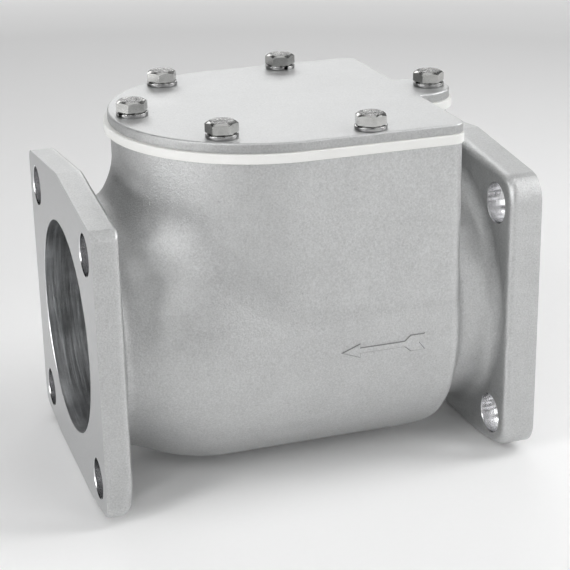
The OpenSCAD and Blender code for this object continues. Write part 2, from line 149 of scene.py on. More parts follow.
# Flow arrow on the side wall, from its tip to the notch in its tail, with half widths
ARROW_Z, ARROW_HEIGHT = -2.4, 0.7
ARROW_TIP_X, ARROW_HEAD_X = 111.5, 121
ARROW_SHAFT_END_X, ARROW_FLARE_X = 142.6, 145.6
ARROW_TAIL_X, ARROW_NOTCH_X = 153, 150
ARROW_HEAD_W, ARROW_SHAFT_W, ARROW_TAIL_W = 3.65, 1.5, 4.1

# Cover and gasket
COVER_R = cover_high[1]
COVER_RIGHT_X = 172.6
COVER_CORNER_R = 7
LUG_R, LUG_HOLLOW_R = 16.5, 1.5
GASKET_PROUD, GASKET_SHIFT = 1.2, 0.8
COVER_HOLE_R = 4.4
STOP_X, STOP_R, STOP_CHAMFER, STOP_FOOT = 74.2, 9, 1, 2.5

# Screws and split washers
M8_SCREW = {"r": 3.98, "length": 25, "flat": 13, "head_h": 5.3, "pitch": 1.25}
M6_SCREW = {"r": 2.98, "length": 15, "flat": 10, "head_h": 4, "pitch": 1}
M5_SCREW = {"r": 2.48, "length": 12, "flat": 8, "head_h": 3.5, "pitch": 0.8}
M8_WASHER = {"r": 7.4, "hole_r": 4.1, "split": 1.6, "lift": 0.1}
M6_WASHER = {"r": 5.5, "hole_r": 3.1, "split": 1.2, "lift": 0.08}
TAPPED_SPARE = 0.04


# ---------------------------------------------------------------- signed distance fields


def rounded_edge(a, b, r):
    """Distance to the solid that lies inside both a and b, with its edge rounded to r."""
    return np.minimum(np.maximum(a, b), -r) + np.hypot(np.maximum(a + r, 0), np.maximum(b + r, 0))


def filleted(a, b, r):
    """Distance to the union of a and b, with a fillet of radius r where they meet."""
    return np.maximum(np.minimum(a, b), r) - np.hypot(np.maximum(r - a, 0), np.maximum(r - b, 0))


def slab(x, low, high):
    """Distance to the layer between two planes."""
    return np.maximum(low - x, x - high)


def fade(x, start, end):
    """Goes smoothly from 0 at start to 1 at end."""
    t = np.clip((x - start) / (end - start), 0, 1)
    return t * t * (3 - 2 * t)


def d_plan(x, y, r, right_x, corner_r):
    """Plan of the chamber: a round end towards the outlet and a square end towards the inlet."""
    square_end = rounded_edge(x - right_x, np.abs(y) - r, corner_r)
    return np.where(x < CHAMBER_X, np.hypot(x - CHAMBER_X, y) - r, square_end)


def barrel(x, y, z, inset, end_x, lower_corner_r, edge_r):
    """Barrel about the bore, drawn in towards the outlet, with a rounded inlet end."""
    rho = np.hypot(y, z)
    straight = rho - (BARREL_R - inset)
    drawn_in = np.hypot(x - ARC_X, rho - (BARREL_R - ARC_R)) - (ARC_R - inset)
    to_end, to_bottom = x - end_x, -z - (BARREL_R - inset)
    end = rounded_edge(to_end, to_bottom, lower_corner_r)
    end_x_part = np.maximum(to_end + lower_corner_r, 0)
    end_z_part = np.maximum(to_bottom + lower_corner_r, 0)
    # The edge's radius goes to 0 where the end and the round wall face the same way.
    alike = end_z_part * -z / ((np.hypot(end_x_part, end_z_part) + 1e-6) * (rho + 1e-6))
    full_r = 30
    edge = np.minimum(edge_r, full_r * (1 - np.clip(alike, 0, 1)))
    round_wall = rounded_edge(np.where(x < ARC_X, drawn_in, straight), end, edge)
    return np.maximum(round_wall, BARREL_START_X - x)


def crease_radius(x, y, z, largest):
    """Fillet between tower and barrel: large where they cross steeply, none where they run side by side."""
    rho = np.hypot(y, z) + 1e-6
    tower_x = np.minimum(x - CHAMBER_X, 0)
    barrel_x = np.clip((x - ARC_X) / ARC_R, -0.9, 0)
    barrel_y = np.sqrt(1 - barrel_x**2) * y / rho
    alike = (tower_x * barrel_x + y * barrel_y) / (np.hypot(tower_x, y) + 1e-6)
    return largest * np.clip(1 - alike, 0, 1) * (1 - fade(x, *CREASE_FADE_X))


def flange_outline(y, z, corner_r):
    """Outline of a flange: crowned at the top, with a flat foot and rounded corners."""
    y = np.abs(y)
    crown = math.atan((FLANGE_CROWN_Z - FLANGE_SHOULDER_Z) / FLANGE_HALF_W)
    foot = math.atan((FOOT_Z - FLANGE_SHOULDER_Z) / (FLANGE_HALF_W - FLANGE_FOOT_HALF_W - corner_r))
    top = y * math.sin(crown) + (z - FLANGE_CROWN_Z) * math.cos(crown)
    slope = (y - FLANGE_FOOT_HALF_W) * math.sin(foot) - (z + FOOT_Z) * math.cos(foot)
    outline = rounded_edge(y - FLANGE_HALF_W, top, corner_r)
    return np.maximum(rounded_edge(outline, slope, corner_r), -z - FOOT_Z)


def casting_outside(x, y, z):
    """The casting's outer skin. It runs past the machined faces, which are cut afterwards."""
    spare = 4
    rho = np.hypot(y, z)
    tower = np.maximum(d_plan(x, y, TOWER_R, CHAMBER_RIGHT_X, OUTER_CORNER_R), slab(z, 0, TOP_Z + spare))
    main = barrel(x, y, z, 0, CHAMBER_RIGHT_X, BARREL_CORNER_R, OUTER_CORNER_R)
    solid = filleted(tower, main, crease_radius(x, y, z, CREASE_R))
    outlet_neck = np.maximum(rho - OUTLET_NECK_R, slab(x, *OUTLET_NECK_X))
    solid = filleted(solid, outlet_neck, OUTLET_NECK_FILLET_R)
    inlet_neck = np.maximum(rho - INLET_NECK_R, slab(x, *INLET_NECK_X))
    solid = filleted(solid, inlet_neck, INLET_NECK_FILLET_R)
    outlet = flange_outline(y, z, OUTLET_CORNER_R)
    outlet_edge_r = OUTLET_EDGE_R + FOOT_EDGE_R * fade(-z, *FOOT_FADE_Z)
    outlet = rounded_edge(outlet, slab(x, -spare, OUTLET_T), outlet_edge_r)
    solid = filleted(solid, outlet, OUTLET_FLANGE_FILLET_R)
    inlet = flange_outline(y, z, INLET_CORNER_R)
    inlet = rounded_edge(inlet, slab(x, INLET_BACK_X, FACE_TO_FACE + spare), INLET_EDGE_R)
    solid = filleted(solid, inlet, INLET_FLANGE_FILLET_R)
    lug = np.maximum(np.hypot(x - LUG_X, y) - LUG_BOSS_R, slab(z, LUG_BOSS_LOW_Z, TOP_Z + spare))
    return filleted(solid, lug, LUG_FILLET_R)


def casting_inside(x, y, z):
    """The casting's cavity, with the cover's screw bosses left standing in it."""
    tower = np.maximum(d_plan(x, y, TOWER_R - TOWER_WALL, SEAT_WALL_X, INNER_CORNER_R), -z)
    lower = barrel(x, y, z, BARREL_WALL, SEAT_WALL_X, INNER_LOWER_CORNER_R, INNER_CORNER_R)
    hollow = filleted(tower, lower, crease_radius(x, y, z, INNER_CREASE_R))
    for centre, _ in cover_screws:
        if centre[0] < SEAT_WALL_X:
            across = np.hypot(x - centre[0], y - centre[1])
            boss = np.hypot(across, np.minimum(z - BOSS_LOW_Z, 0)) - BOSS_R
            hollow = rounded_edge(hollow, -boss, BOSS_FILLET_R)
    return hollow


def casting(x, y, z):
    """The whole casting, before it is machined."""
    return np.maximum(casting_outside(x, y, z), -casting_inside(x, y, z))


def gradient(field, points):
    """Unit normals of a field at some points."""
    reach = 0.05
    found = np.empty_like(points)
    for axis in range(3):
        ahead, behind = points.copy(), points.copy()
        ahead[:, axis] += reach
        behind[:, axis] -= reach
        found[:, axis] = (field(*ahead.T) - field(*behind.T)) / (2 * reach)
    return found / np.maximum(np.linalg.norm(found, axis=1, keepdims=True), 1e-6)


def surface_net(values, low, step):
    """Quads of the surface where a sampled field is 0: one vertex in each cell that the surface crosses."""
    cells = np.array(values.shape) - 1
    owners, points, quads = [], [], []
    for axis in range(3):
        u, v = (axis + 1) % 3, (axis + 2) % 3
        size = values.shape[axis]
        near = np.take(values, range(size - 1), axis=axis)
        far = np.take(values, range(1, size), axis=axis)
        at = np.argwhere((near < 0) != (far < 0))
        at = at[(at[:, u] > 0) & (at[:, u] < cells[u]) & (at[:, v] > 0) & (at[:, v] < cells[v])]
        start, end = near[tuple(at.T)], far[tuple(at.T)]
        crossing = at.astype(float)
        crossing[:, axis] += start / (start - end)
        ring = []
        for du, dv in ((-1, -1), (0, -1), (0, 0), (-1, 0)):
            cell = at.copy()
            cell[:, u] += du
            cell[:, v] += dv
            ring.append((cell[:, 0] * cells[1] + cell[:, 1]) * cells[2] + cell[:, 2])
            owners.append(ring[-1])
            points.append(crossing)
        quad = np.stack(ring, 1)
        quad[start > 0] = quad[start > 0][:, ::-1]
        quads.append(quad)
    used, index = np.unique(np.concatenate(owners), return_inverse=True)
    crossings, count = np.concatenate(points), np.bincount(index)
    verts = np.stack([np.bincount(index, crossings[:, c]) / count for c in range(3)], 1)
    return low + verts * step, np.searchsorted(used, np.concatenate(quads))


def field_mesh(name, field, low, high, step, relaxing=3):
    """Meshes a distance field as even quads: they are relaxed first, and then settle on the surface."""
    low, high = np.array(low, float), np.array(high, float)
    axes = [np.arange(a, b + step, step) for a, b in zip(low, high)]
    values = np.stack([field(x, *np.meshgrid(axes[1], axes[2], indexing="ij")) for x in axes[0]])
    points, quads = surface_net(values, low, step)
    pairs = np.concatenate([quads[:, [i, (i + 1) % 4]] for i in range(4)])
    count = np.bincount(pairs[:, 0], minlength=len(points))[:, None]
    settling = 3
    for turn in range(relaxing + settling):
        if turn < relaxing:
            sums = [np.bincount(pairs[:, 0], points[pairs[:, 1], c], len(points)) for c in range(3)]
            points = points + 0.5 * (np.stack(sums, 1) / count - points)
        points -= gradient(field, points) * np.clip(field(*points.T), -step, step)[:, None]
    return mesh_object(name, points, quads)


# ---------------------------------------------------------------- meshes


def mesh_object(name, points, faces):
    """An object from points in millimetres."""
    mesh = bpy.data.meshes.new(name)
    mesh.from_pydata((np.asarray(points) * MM).tolist(), [], [list(map(int, f)) for f in faces])
    mesh.validate()
    mesh.shade_smooth()
    piece = bpy.data.objects.new(name, mesh)
    bpy.context.collection.objects.link(piece)
    return piece


def block(low, high):
    """Points and faces of a box."""
    points = [(x, y, z) for x in (low[0], high[0]) for y in (low[1], high[1]) for z in (low[2], high[2])]
    faces = [(0, 1, 3, 2), (4, 6, 7, 5), (0, 4, 5, 1), (2, 3, 7, 6), (0, 2, 6, 4), (1, 5, 7, 3)]
    return points, faces


def loft(rings):
    """Points and faces of a solid with flat ends, skinned over rings of equally many points."""
    count, side = len(rings), len(rings[0])
    faces = []
    for ring in range(count - 1):
        for i in range(side):
            j = (i + 1) % side
            faces.append((ring * side + i, ring * side + j, (ring + 1) * side + j, (ring + 1) * side + i))
    faces.append(tuple(range(side))[::-1])
    faces.append(tuple((count - 1) * side + i for i in range(side)))
    return [point for ring in rings for point in ring], faces


def turned(profile, origin, axis, sides):
    """Points and faces of a solid turned about an axis. The profile is (distance along it, radius)."""
    along = Vector(axis)
    across = along.orthogonal().normalized()
    other = along.cross(across)
    angles = [2 * math.pi * i / sides for i in range(sides)]
    rings = []
    for distance, radius in profile:
        centre = Vector(origin) + along * distance
        rings.append([centre + (across * math.cos(a) + other * math.sin(a)) * radius for a in angles])
    return loft(rings)


def joined(name, solids):
    """One object of several separate solids."""
    points, faces = [], []
    for solid_points, solid_faces in solids:
        faces += [tuple(i + len(points) for i in f) for f in solid_faces]
        points += [tuple(point) for point in solid_points]
    piece = mesh_object(name, points, faces)
    bm = bmesh.new()
    bm.from_mesh(piece.data)
    bmesh.ops.recalc_face_normals(bm, faces=bm.faces)
    bm.to_mesh(piece.data)
    bm.free()
    return piece


def fixed_mesh(piece):
    """Puts the result of an object's modifiers in its mesh."""
    depsgraph = bpy.context.evaluated_depsgraph_get()
    made = bpy.data.meshes.new_from_object(piece.evaluated_get(depsgraph))
    piece.modifiers.clear()
    old, piece.data = piece.data, made
    bpy.data.meshes.remove(old)
    return piece


def boolean(piece, tool, operation, index):
    """Cuts a tool from a piece, or adds it. The faces it makes take the material with this index."""
    while len(tool.data.materials) <= index:
        tool.data.materials.append(None)
    tool.data.polygons.foreach_set("material_index", [index] * len(tool.data.polygons))
    modifier = piece.modifiers.new("boolean", "BOOLEAN")
    modifier.operation = operation
    modifier.object = tool
    modifier.solver = "MANIFOLD"
    modifier.material_mode = "INDEX"
    fixed_mesh(piece)
    bpy.data.objects.remove(tool)
    return piece


def hard_edges(piece, degrees=30):
    """Marks the edges that stay crisp: sharp ones, and those between two materials."""
    bm = bmesh.new()
    bm.from_mesh(piece.data)
    for edge in bm.edges:
        if len(edge.link_faces) == 2:
            a, b = edge.link_faces
            bend = a.normal.angle(b.normal, 0)
            edge.smooth = a.material_index == b.material_index and bend < math.radians(degrees)
    bm.to_mesh(piece.data)
    bm.free()


def field_normals(piece, field):
    """Shades the cast faces by the field's own normals, so that their facets don't show."""
    mesh = piece.data
    count = len(mesh.loops)
    normals = np.empty(count * 3, dtype=np.float32)
    mesh.corner_normals.foreach_get("vector", normals)
    normals = normals.reshape(-1, 3).astype(float)
    vertex = np.empty(count, dtype=np.int32)
    mesh.loops.foreach_get("vertex_index", vertex)
    points = np.empty(len(mesh.vertices) * 3, dtype=np.float32)
    mesh.vertices.foreach_get("co", points)
    points = points.reshape(-1, 3) / MM
    size = np.empty(len(mesh.polygons), dtype=np.int32)
    index = np.empty(len(mesh.polygons), dtype=np.int32)
    mesh.polygons.foreach_get("loop_total", size)
    mesh.polygons.foreach_get("material_index", index)
    cast = np.repeat(index, size) == CAST
    normals[cast] = gradient(field, points.astype(float))[vertex[cast]]
    mesh.normals_split_custom_set(normals.tolist())


# ---------------------------------------------------------------- edges, copies and standard parts


def even_shading(piece):
    """Keeps the flats flat in the shading, beside rounded edges."""
    piece.modifiers.new("weighted_normals", "WEIGHTED_NORMAL").keep_sharp = True
    return piece


def bevelled(piece, width, degrees=25, segments=2):
    """Rounds a piece's sharp edges."""
    bevel = piece.modifiers.new("bevel", "BEVEL")
    bevel.width = width * MM
    bevel.segments = segments
    bevel.limit_method = "ANGLE"
    bevel.angle_limit = math.radians(degrees)
    bevel.use_clamp_overlap = True
    return piece


def cylinder(start, end, r, origin=(0, 0, 0), axis=(0, 0, 1), sides=96):
    """Points and faces of a cylinder between two distances along an axis."""
    return turned([(start, r), (end, r)], origin, axis, sides)


def copies(name, template, places):
    """One object of a template's copies, one for each matrix (in millimetres)."""
    bm = bmesh.new()
    for place in places:
        mesh = template.data.copy()
        metres = place.copy()
        metres.translation *= MM
        mesh.transform(metres)
        bm.from_mesh(mesh)
        bpy.data.meshes.remove(mesh)
    mesh = bpy.data.meshes.new(name)
    bm.to_mesh(mesh)
    bm.free()
    bpy.data.objects.remove(template)
    piece = bpy.data.objects.new(name, mesh)
    bpy.context.collection.objects.link(piece)
    return piece


def placed(origin, axis, turn_degrees=0):
    """Matrix that sets a part made on +Z at a place, along an axis, and turned about it."""
    aim = Vector(axis).to_track_quat("Z", "Y").to_matrix().to_4x4()
    return Matrix.Translation(origin) @ aim @ Matrix.Rotation(math.radians(turn_degrees), 4, "Z")


def arc(centre, r, start, end, steps=12):
    """Points of an arc in a plane, from one angle to another in degrees."""
    angles = [math.radians(start + (end - start) * i / steps) for i in range(steps + 1)]
    return [(centre[0] + r * math.cos(a), centre[1] + r * math.sin(a)) for a in angles]


def hexagon(flat, z, corner_r=0):
    """A ring of 6 corners, each rounded."""
    reach = flat / math.sqrt(3)
    ring = []
    for corner in range(6):
        angle = 60 * corner
        middle = reach - corner_r / math.cos(math.radians(30))
        centre = (middle * math.cos(math.radians(angle)), middle * math.sin(math.radians(angle)))
        ring += [(x, y, z) for x, y in arc(centre, corner_r, angle - 30, angle + 30, 4)]
    return ring


def threaded(r, length, pitch, plain):
    """Points and faces of a shank that runs down from its head, with a screw thread and a chamfered tip."""
    sides, slices, depth, in_head = 40, 9, 0.54 * pitch, 0.3
    angles = np.linspace(0, 2 * math.pi, sides, False)
    rings = [[(r * math.cos(a), r * math.sin(a), in_head) for a in angles]]
    for z in np.arange(-plain, -length, -pitch / slices).tolist() + [-length]:
        ring = []
        for angle in angles:
            # The flanks are straight, between a flat crest and a flat root.
            wave = abs(2 * ((-z / pitch + angle / (2 * math.pi)) % 1) - 1)
            cut = depth * min(max(1.3 * wave - 0.15, 0), 1) * min((-z - plain) / pitch, 1)
            tip = r - depth * 1.1 + (z + length)
            radius = min(r - cut, tip)
            ring.append((radius * math.cos(angle), radius * math.sin(angle), z))
        rings.append(ring)
    return loft(rings)


def hex_screw(name, r, length, flat, head_h, pitch):
    """Hex head screw on Z, its head standing on z = 0: chamfered corners, a washer face and a real thread.

    The head's sides have material 0, its shank 1 and its top 2, a darker zinc of painted shade.
    """
    side, shank, crown = range(3)
    face_h, face_r, corner_r, edge_r = 0.035 * flat, 0.475 * flat, 0.02 * flat, 0.016 * flat
    head = joined(name, [loft([hexagon(flat, z, corner_r) for z in (face_h, head_h + 1)])])
    reach, top_r, chamfer_h, dish = 0.6 * flat, 0.43 * flat, 0.11 * flat, 0.02 * flat
    cone = [(-1, reach), (head_h - chamfer_h, reach), (head_h, top_r), (head_h - dish, top_r - 3 * dish)]
    boolean(head, joined("cone", [turned(cone, (0, 0, 0), (0, 0, 1), 96)]), "INTERSECT", side)
    boolean(head, joined("washer_face", [cylinder(0, 2 * face_h, face_r)]), "UNION", side)
    fixed_mesh(bevelled(head, edge_r, 20))
    boolean(head, joined("shank", [threaded(r, length, pitch, plain=0.8)]), "UNION", shank)
    # The head's top takes the darker zinc, painted shade.
    for face in head.data.polygons:
        if face.normal.z > 0.9 and face.center.z > 0.8 * head_h * MM:
            face.material_index = crown
    return head


def split_washer(name, r, hole_r, thickness, split, lift):
    """Spring washer on Z with rounded edges. Its two ends stand a little apart, one up and one down."""
    steps, middle_r = 96, (r + hole_r) / 2
    half_w, half_t, edge = (r - hole_r) / 2, thickness / 2 - lift, 0.16 * thickness
    section = []
    for side_r, side_z, start in ((1, 1, 0), (-1, 1, 90), (-1, -1, 180), (1, -1, 270)):
        centre = (side_r * (half_w - edge), side_z * (half_t - edge))
        section += arc(centre, edge, start, start + 90, 3)
    half_gap = math.degrees(split / (r + hole_r))
    rings = []
    for step in range(steps + 1):
        t = step / steps
        angle = math.radians(half_gap + t * (360 - 2 * half_gap))
        rise = half_t + lift + lift * (2 * t - 1)
        ring = []
        for across, up in section:
            skew = 0.25 * up / (r + hole_r) if abs(2 * t - 1) > 0.96 else 0
            spot = middle_r + across
            ring.append((spot * math.cos(angle + skew), spot * math.sin(angle + skew), rise + up))
        rings.append(ring)
    return joined(name, [loft(rings)])


# ---------------------------------------------------------------- finishes


class Finish:
    """A procedural metal, rubber or sheet, built up from noise in the object's own space."""

    def __init__(self, name, colour, metallic, roughness):
        self.material = bpy.data.materials.new(name)
        self.material.use_nodes = True
        self.tree = self.material.node_tree
        self.shader = self.tree.nodes["Principled BSDF"]
        self.shader.inputs["Base Color"].default_value = (*colour, 1)
        self.shader.inputs["Metallic"].default_value = metallic
        self.shader.inputs["Roughness"].default_value = roughness
        self.colour, self.roughness = colour, roughness
        self.place = self.put("ShaderNodeTexCoord").outputs["Object"]

    def put(self, kind, inputs=(), **settings):
        """Adds a node. Each input is a socket to link or a plain value."""
        node = self.tree.nodes.new(kind)
        for setting, value in settings.items():
            setattr(node, setting, value)
        for key, value in dict(inputs).items():
            if isinstance(value, bpy.types.NodeSocket):
                self.tree.links.new(value, node.inputs[key])
            else:
                node.inputs[key].default_value = value
        return node

    def math(self, operation, a, b=0.0):
        """A sum done on two values."""
        return self.put("ShaderNodeMath", {0: a, 1: b}, operation=operation).outputs[0]

    def plus(self, value, other, factor):
        """Adds another value, times a factor."""
        return self.math("ADD", self.math("MULTIPLY", other, factor), value)

    def noise(self, size, detail=2.0, place=None, rough=0.5):
        """Noise about 0.5 whose lumps are about this many millimetres across."""
        inputs = {"Vector": place or self.place, "Scale": 1 / (size * MM)}
        inputs.update({"Detail": detail, "Roughness": rough})
        return self.put("ShaderNodeTexNoise", inputs).outputs["Fac"]

    def spread(self, value, low, high, to_low, to_high):
        """Maps one range on to another, and holds it there."""
        inputs = {"Value": value, "From Min": low, "From Max": high, "To Min": to_low, "To Max": to_high}
        return self.put("ShaderNodeMapRange", inputs).outputs["Result"]

    def attribute(self, name):
        """A number stored on the mesh."""
        return self.put("ShaderNodeAttribute", attribute_name=name).outputs["Fac"]

    def turned_place(self, around, across, origin=(0, 0, 0), axis="X", mirrored=False):
        """Coordinates about an axis, for tool marks: long round it and fine along it and across it.

        A mirrored place has the same marks about each of four axes, one in every quarter.
        """
        place = self.place
        if mirrored:
            place = self.put("ShaderNodeVectorMath", {0: place}, operation="ABSOLUTE").outputs[0]
        moved = self.put("ShaderNodeVectorMath", {0: place, 1: [-v * MM for v in origin]}, operation="ADD")
        split = self.put("ShaderNodeSeparateXYZ", {0: moved.outputs[0]})
        one, two = [split.outputs[name] for name in "XYZ" if name != axis]
        squares = self.math("ADD", self.math("MULTIPLY", one, one), self.math("MULTIPLY", two, two))
        reach = self.math("SQRT", squares)
        angle = self.math("ARCTAN2", two, one)
        parts = {
            "X": self.math("MULTIPLY", split.outputs[axis], 1 / across),
            "Y": self.math("MULTIPLY", reach, 1 / across),
            "Z": self.math("MULTIPLY", angle, 0.05 / around),
        }
        return self.put("ShaderNodeCombineXYZ", parts).outputs[0]

    def tint(self, shade):
        """Makes the base colour lighter where a shade is above 0, and darker where it is below."""
        tone = self.math("ADD", shade, 1.0)
        grey = self.put("ShaderNodeCombineColor", {"Red": tone, "Green": tone, "Blue": tone}).outputs[0]
        inputs = {"Factor": 1.0, 6: (*self.colour, 1), 7: grey}
        mixed = self.put("ShaderNodeMix", inputs, data_type="RGBA", blend_type="MULTIPLY").outputs[2]
        self.tree.links.new(mixed, self.shader.inputs["Base Color"])

    def roughen(self, change):
        """Makes the surface rougher where a change is above 0, and smoother where it is below."""
        value = self.math("ADD", change, self.roughness)
        self.tree.links.new(value, self.shader.inputs["Roughness"])

    def bump(self, height, depth):
        """Raises the surface by a height map. The depth is in millimetres."""
        node = self.put("ShaderNodeBump", {"Height": height, "Distance": depth * MM})
        self.tree.links.new(node.outputs["Normal"], self.shader.inputs["Normal"])

    def mean(self, parts):
        """Adds up noises, each with its weight, about 0."""
        total = 0.0
        for value, weight in parts:
            about_zero = self.math("SUBTRACT", value, 0.5)
            total = self.math("ADD", self.math("MULTIPLY", about_zero, weight), total)
        return total


def cast_metal(name, colour, roughness, grain, depth, mottle, worn_edges_and_hollow_shade=False):
    """Blasted casting: fine pitted grain, cloudy tone, specks, and where asked lighter edges from wear and
    painted shade that darkens the hollows.
    """
    finish = Finish(name, colour, 1, roughness)
    fine, middle = finish.noise(grain, 3, rough=0.65), finish.noise(7 * grain, 2)
    broad = finish.noise(26, 2)
    specks = finish.spread(finish.noise(2.4 * grain, 2, rough=0.7), 0.66, 0.74, 0, 1)
    shade = finish.mean([(broad, 0.22 * mottle), (middle, 0.26 * mottle), (fine, 1.5 * mottle)])
    shade = finish.plus(shade, specks, -0.10)
    rough = finish.mean([(middle, 0.08), (fine, 0.30)])
    if worn_edges_and_hollow_shade:
        bent = finish.attribute("bend")
        edge = finish.spread(bent, 0.05, 0.5, 0, 1)
        # Painted shade: the hollows and creases are darkened where shade would fall.
        hollow = finish.spread(bent, -0.10, -0.50, 0, 1)
        shade = finish.plus(finish.plus(shade, edge, 0.08), hollow, -0.06)
        rough = finish.plus(rough, edge, -0.10)
    finish.tint(shade)
    finish.roughen(rough)
    height = finish.mean([(fine, 1.0), (middle, 0.5), (finish.noise(2.6 * grain, 2), 0.4)])
    finish.bump(finish.plus(height, specks, -0.35), depth)
    return finish.material


def machined_metal(name, colour, roughness, marks, depth, mottle=0.08, streak=10, **about):
    """Turned or bored metal: tool marks that run round an axis, and faint handling marks."""
    finish = Finish(name, colour, 1, roughness)
    place = finish.turned_place(streak, 1, **about)
    cuts, bands = finish.noise(marks, 3, place, 0.6), finish.noise(7 * marks, 2, place)
    cloud, dust = finish.noise(14, 3), finish.noise(0.5, 2)
    weights = [(cuts, 1.2), (bands, 1.6), (cloud, 1.2), (dust, 0.5)]
    finish.tint(finish.mean([(value, weight * mottle) for value, weight in weights]))
    finish.roughen(finish.mean([(cloud, 0.14), (bands, 0.16), (dust, 0.06)]))
    finish.bump(finish.mean([(cuts, 1.0), (bands, 1.2)]), depth)
    return finish.material


def plated_steel(name, colour, roughness, grain, depth, mottle):
    """Formed steel, bright or dark: drawn grain, dull patches and small dents."""
    finish = Finish(name, colour, 1, roughness)
    grainy, patches = finish.noise(grain, 3, rough=0.7), finish.noise(3.2, 3)
    dents = finish.spread(finish.noise(0.9, 2), 0.66, 0.76, 0, 1)
    shade = finish.mean([(grainy, 1.5 * mottle), (patches, 2 * mottle)])
    finish.tint(finish.plus(shade, dents, -0.12))
    finish.roughen(finish.mean([(patches, 0.22), (grainy, 0.14)]))
    finish.bump(finish.plus(grainy, dents, -0.7), depth)
    return finish.material


def sheet_or_rubber(name, colour, roughness, grain, depth, mottle):
    """Moulded rubber or pressed sheet: fine grain, faint clouds and scuffs."""
    finish = Finish(name, colour, 0, roughness)
    fine, clouds = finish.noise(grain, 4, rough=0.7), finish.noise(9, 3)
    scuffs = finish.spread(finish.noise(1.6, 4, rough=0.8), 0.60, 0.72, 0, 1)
    shade = finish.mean([(fine, mottle), (clouds, 1.4 * mottle)])
    finish.tint(finish.plus(shade, scuffs, -0.05))
    finish.roughen(finish.mean([(clouds, 0.15), (fine, 0.12)]))
    finish.bump(fine, depth)
    return finish.material


# The body's metal has lighter edges from wear and painted shade in its hollows.
CAST_BODY = cast_metal("cast_aluminium_body", (0.56, 0.565, 0.565), 0.50,
                       grain=0.8, depth=0.26, mottle=0.50, worn_edges_and_hollow_shade=True)
# Painted shade: a dark copy of the cast metal for the flow arrow's sloping sides, in place of the shadow
# lines along its relief.
ARROW_SIDE_SHADE = cast_metal("cast_aluminium_arrow_side_shade", (0.26, 0.262, 0.262), 0.50,
                        grain=0.8, depth=0.14, mottle=0.40)
CAST_COVER = cast_metal("cast_aluminium_cover", (0.61, 0.615, 0.615), 0.54,
                        grain=0.8, depth=0.16, mottle=0.30)
# Painted shade: a darker, coarser copy of the cover's metal for its upright sides.
CAST_COVER_SIDE_SHADE = cast_metal("cast_aluminium_cover_side_shade", (0.47, 0.475, 0.475), 0.50,
                             grain=0.8, depth=0.22, mottle=0.50)
FACED_BODY = machined_metal("faced_aluminium", (0.57, 0.575, 0.58), 0.34, marks=0.7, depth=0.02, mottle=0.12)
BORED_BODY = machined_metal("bored_aluminium", (0.66, 0.67, 0.68), 0.34,
                            marks=2.2, depth=0.20, mottle=0.95, streak=16)
DRILLED_BODY = machined_metal("drilled_aluminium", (0.66, 0.66, 0.67), 0.20,
                              marks=1.3, depth=0.07, mottle=0.5, streak=50,
                              origin=(0, BOLT_SQUARE / 2, BOLT_SQUARE / 2), mirrored=True)
TURNED_ALUMINIUM = machined_metal("turned_aluminium", (0.70, 0.71, 0.72), 0.30, marks=0.4, depth=0.012)
GASKET = sheet_or_rubber("white_gasket_sheet", (0.83, 0.83, 0.81), 0.55, grain=0.5, depth=0.03, mottle=0.05)
RUBBER = sheet_or_rubber("black_rubber", (0.022, 0.022, 0.023), 0.55, grain=0.4, depth=0.02, mottle=0.25)
ZINC = plated_steel("zinc_plated_steel", (0.47, 0.47, 0.46), 0.17, grain=0.5, depth=0.04, mottle=0.25)
# Painted shade: a darker copy of the zinc for the head tops, with real forging marks in its bump.
ZINC_TOP_SHADE = plated_steel("zinc_forged_top_shade", (0.32, 0.32, 0.315), 0.24, grain=1.2, depth=0.70, mottle=1.1)
SPRING = plated_steel("spring_steel", (0.36, 0.36, 0.36), 0.16, grain=0.5, depth=0.03, mottle=0.2)
STAINLESS = plated_steel("cast_stainless", (0.52, 0.51, 0.50), 0.40, grain=0.5, depth=0.04, mottle=0.10)
SEAT_BRONZE = machined_metal("seat_bronze", (0.60, 0.40, 0.17), 0.30, marks=0.35, depth=0.012)
PLAIN_BRONZE = machined_metal("bearing_bronze", (0.56, 0.36, 0.16), 0.34, marks=0.35, depth=0.012,
                              origin=HINGE_PLACE, axis="Y")


def assemble(piece, body, slot, nodes, *finishes):
    """Gives a new piece its finishes, and puts it in the assembly in place of CAD nodes."""
    faces = piece.data.polygons
    indices = np.empty(len(faces), dtype=np.int32)
    faces.foreach_get("material_index", indices)
    piece.data.materials.clear()
    for material in finishes:
        piece.data.materials.append(material)
    faces.foreach_set("material_index", np.minimum(indices, len(finishes) - 1))
    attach(piece, body)
    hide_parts(*nodes)
    return piece


# ---------------------------------------------------------------- the casting


def machining_faces():
    """Blocks of waste beyond the two flange faces and the top face."""
    wide, deep = 120, 20
    return joined("waste_faces", [
        block((-deep, -wide, -wide), (0, wide, wide)),
        block((FACE_TO_FACE, -wide, -wide), (FACE_TO_FACE + deep, wide, wide)),
        block((deep, -wide, TOP_Z), (FACE_TO_FACE - deep / 2, wide, TOP_Z + deep)),
    ])


def machining_ports():
    """The outlet bore, and the inlet bore with the seat ring's counterbore at its inner end."""
    chamfer, past = 0.3, 2
    outlet = [(-past, PORT_R + chamfer + past), (chamfer, PORT_R), (BORE_END_X, PORT_R)]
    seat_r = seat_high[2]
    inlet = [
        (SEAT_WALL_X - past, seat_r), (seat_high[0], seat_r), (seat_high[0], PORT_R),
        (FACE_TO_FACE - chamfer, PORT_R), (FACE_TO_FACE + past, PORT_R + chamfer + past),
    ]
    return joined("waste_ports", [turned(p, (0, 0, 0), (1, 0, 0), 192) for p in (outlet, inlet)])


